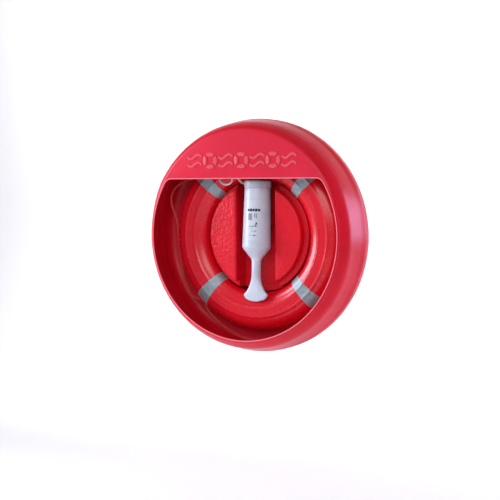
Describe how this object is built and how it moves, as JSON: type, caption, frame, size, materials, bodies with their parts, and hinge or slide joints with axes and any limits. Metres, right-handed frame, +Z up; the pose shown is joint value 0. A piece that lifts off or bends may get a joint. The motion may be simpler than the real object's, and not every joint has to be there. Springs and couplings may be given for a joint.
{
  "type": "lifebuoy station",
  "caption": "Round open-fronted wall housing with a ring lifebuoy hung on its central boss and a bottle-shaped throwing line.",
  "frame": {"origin": "centre of the four fixing holes, on the plane where the mounting rails bear on the wall", "axes": "+X to the right seen from the front, +Z up, the open front faces -Y and +Y points into the wall"},
  "size_m": [0.95, 0.2385, 0.95],
  "materials": {
    "housing_red": "gloss",
    "housing_red_textured": "satin",
    "ring_red": "gloss",
    "ring_foam": "matte",
    "reflective_tape": "satin",
    "grab_rope": "matte",
    "white_rope": "matte",
    "bottle_white": "satin",
    "label_white": "satin",
    "black_rubber": "matte",
    "galvanised_steel": "satin",
    "stainless_steel": "satin"
  },
  "bodies": {
    "housing": {"front_cover": "housing_red", "back_shell": "housing_red", "cover_rivets": "housing_red", "centre_boss": "housing_red_textured", "boss_screws": "stainless_steel", "mounting_rail_upper": "galvanised_steel", "mounting_rail_lower": "galvanised_steel", "rail_rivets": "stainless_steel", "fixing_spacers": "stainless_steel", "bottle_cradle": "housing_red", "cradle_screws": "stainless_steel"},
    "ring": {"ring_shell_front": "ring_red", "ring_shell_back": "ring_red", "ring_foam_core": "ring_foam", "ring_filler_plug": "ring_red", "reflective_band_upper_right": "reflective_tape", "reflective_band_upper_left": "reflective_tape", "reflective_band_lower_left": "reflective_tape", "reflective_band_lower_right": "reflective_tape", "grab_line": "grab_rope", "grab_line_saddles": "ring_red", "saddle_rivets": "stainless_steel", "grab_line_sleeve": "black_rubber"},
    "bottle": {"throw_bottle": "bottle_white", "bottle_label": "label_white", "stowed_line": "white_rope"},
    "cap": {"bottle_cap": "bottle_white", "cap_seal": "black_rubber", "tail_line": "white_rope", "tail_sleeve": "black_rubber"}
  },
  "joints": [
    {"name": "ring_turn", "type": "hinge", "parent": "housing", "child": "ring", "pos_m": [0, -0.08, -0.004], "axis": [0, -1, 0], "continuous": true},
    {"name": "line_draw", "type": "slide", "parent": "housing", "child": "bottle", "axis": [0, -0.7659, -0.6429], "range_m": [0, 0.4]},
    {"name": "cap_turn", "type": "hinge", "parent": "bottle", "child": "cap", "pos_m": [0.007, -0.123, 0], "axis": [0, 0.0541, 0.9985], "range_deg": [0, 15]}
  ]
}
